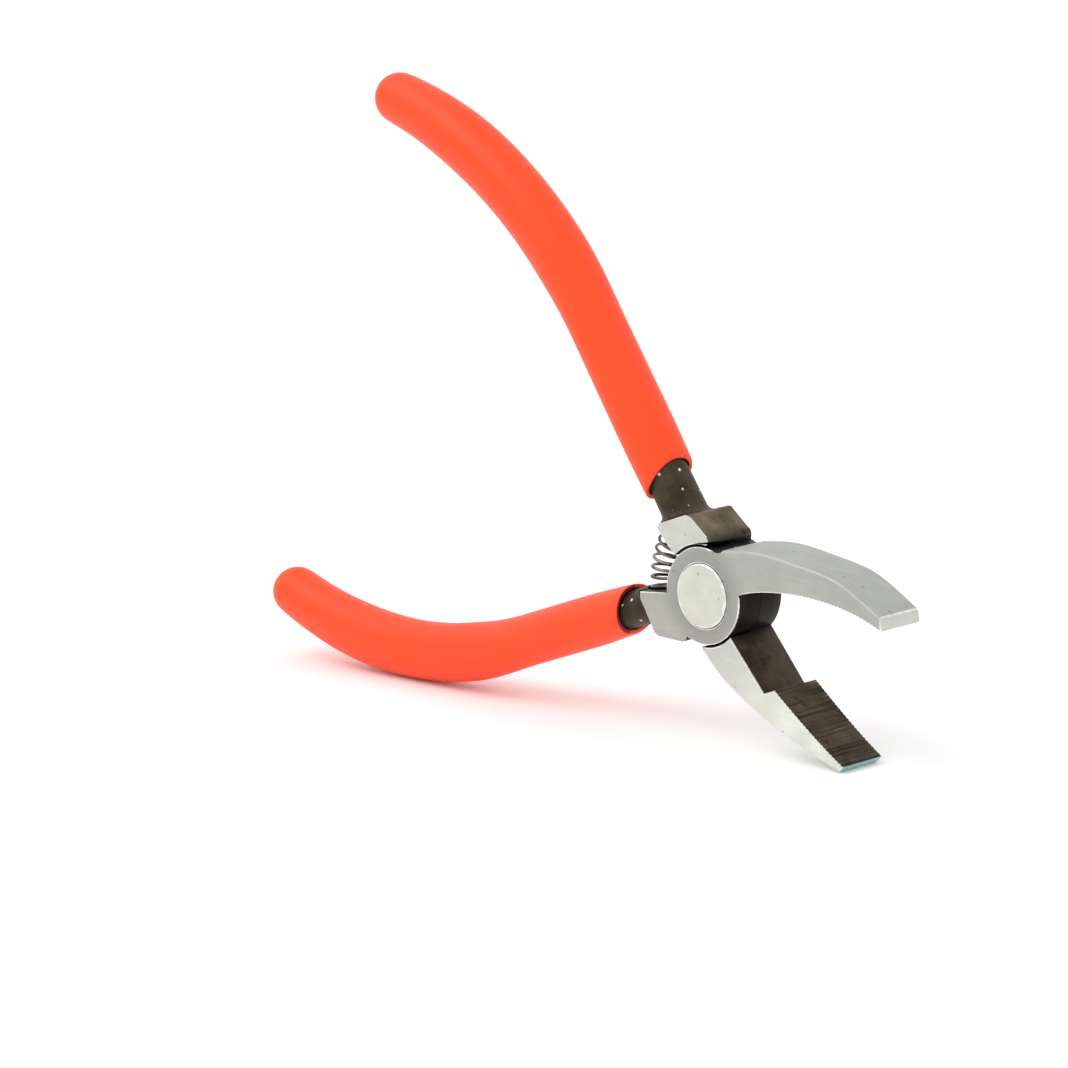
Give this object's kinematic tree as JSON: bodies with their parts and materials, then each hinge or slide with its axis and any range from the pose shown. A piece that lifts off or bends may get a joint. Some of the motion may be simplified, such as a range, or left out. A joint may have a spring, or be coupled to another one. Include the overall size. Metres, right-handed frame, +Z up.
{
  "type": "glass nippers",
  "caption": "Small plier-type glass nippers with a curved and a stepped straight serrated jaw, coil return spring and sleeve grips, standing open.",
  "frame": {"origin": "centre of the bounding box in plan, on the surface the nippers stand on", "axes": "+X from the handles towards the jaws, +Y from the front face to the back face along the pivot, +Z up"},
  "size_m": [0.158, 0.0116, 0.1134],
  "materials": {
    "forged_steel": "ground and lightly satin on the outer faces, black oxide left on the inner jaw faces, flanks and necks",
    "rivet_steel": "fine ground, satin",
    "spring_wire": "drawn wire, dark oiled",
    "grip_vinyl": "soft satin vinyl, bright orange red"
  },
  "bodies": {
    "front_lever": {"front_lever": "forged_steel", "pivot_rivet": "rivet_steel", "front_grip": "grip_vinyl", "return_spring": "spring_wire"},
    "rear_lever": {"rear_lever": "forged_steel", "rear_grip": "grip_vinyl"}
  },
  "joints": [
    {"name": "nipper_hinge", "type": "hinge", "parent": "front_lever", "child": "rear_lever", "pos_m": [0.038, 0, 0.02703], "axis": [0, -1, 0], "range_deg": [-18, 37.4], "stiffness_Nm_per_rad": 0.6, "deforming": ["return_spring"]}
  ]
}
